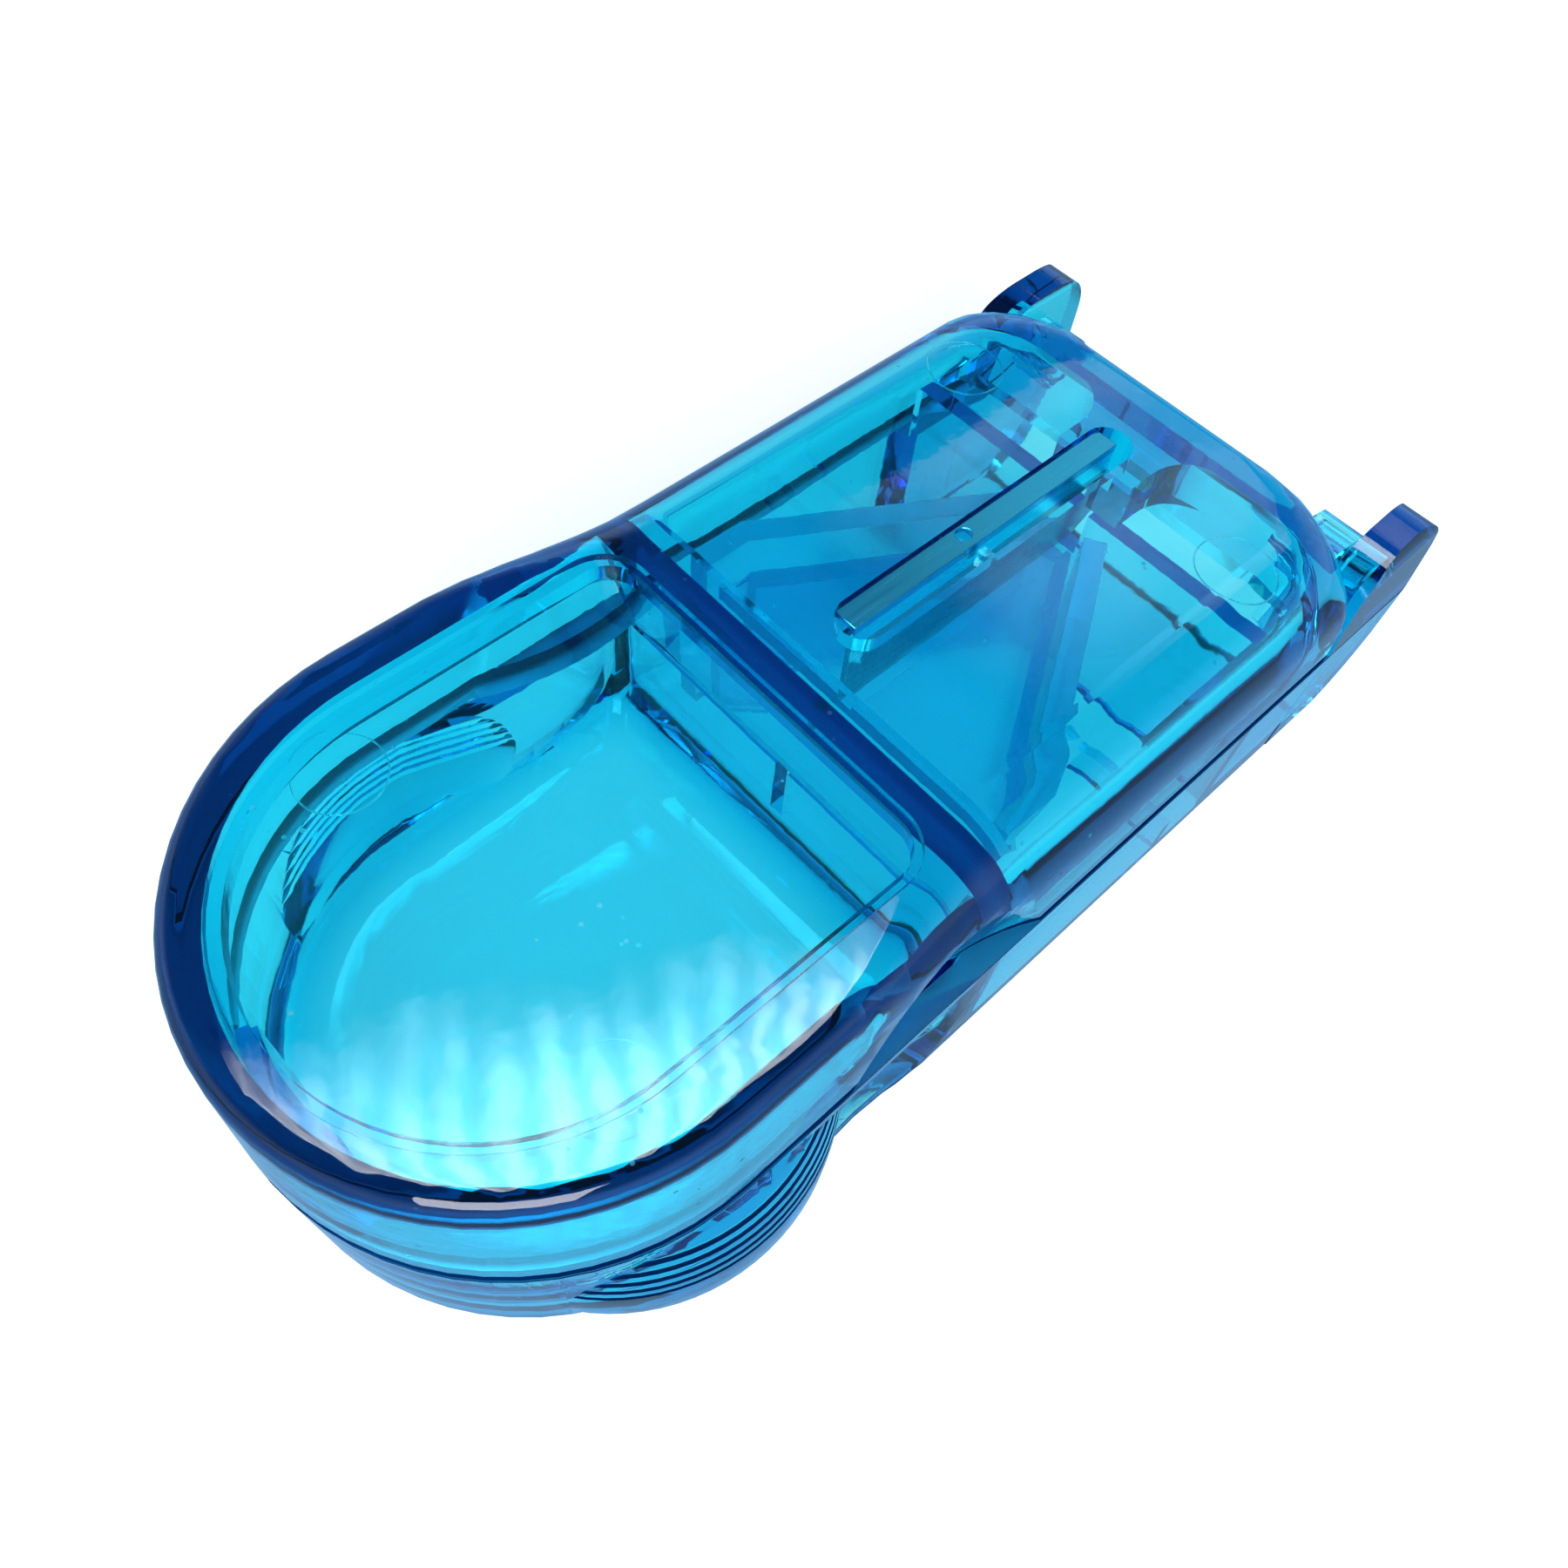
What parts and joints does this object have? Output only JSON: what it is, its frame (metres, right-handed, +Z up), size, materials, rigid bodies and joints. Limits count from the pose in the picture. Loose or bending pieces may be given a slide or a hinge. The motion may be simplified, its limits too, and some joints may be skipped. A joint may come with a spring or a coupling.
{
  "type": "pill splitter",
  "caption": "Pocket pill splitter: rounded-nose tray, hinged translucent lid with a window and a blade slot, V-shaped pill holder and a steel blade.",
  "frame": {"origin": "centre of the footprint, on the flat underside", "axes": "+Z up, -Y towards the rounded nose, +Y towards the hinge, +X to the right seen from the nose side looking back"},
  "size_m": [0.0466, 0.096, 0.0262],
  "materials": {
    "base_plastic": "polished translucent blue",
    "lid_plastic": "polished translucent blue",
    "holder_plastic": "translucent blue",
    "latch_plastic": "translucent blue",
    "pin_plastic": "translucent blue",
    "blade_steel": "ground stainless"
  },
  "bodies": {
    "base": {"base_tray": "base_plastic", "pill_bed": "holder_plastic", "pill_arm_left": "holder_plastic", "pill_arm_right": "holder_plastic", "latch_tongue": "latch_plastic", "hinge_pin_left": "pin_plastic", "hinge_pin_right": "pin_plastic"},
    "lid": {"lid_cover": "lid_plastic", "blade": "blade_steel"}
  },
  "joints": [
    {"name": "lid_hinge", "type": "hinge", "parent": "base", "child": "lid", "pos_m": [0, 0.0414, 0.0178], "axis": [-1, 0, 0], "range_deg": [0, 95]}
  ]
}
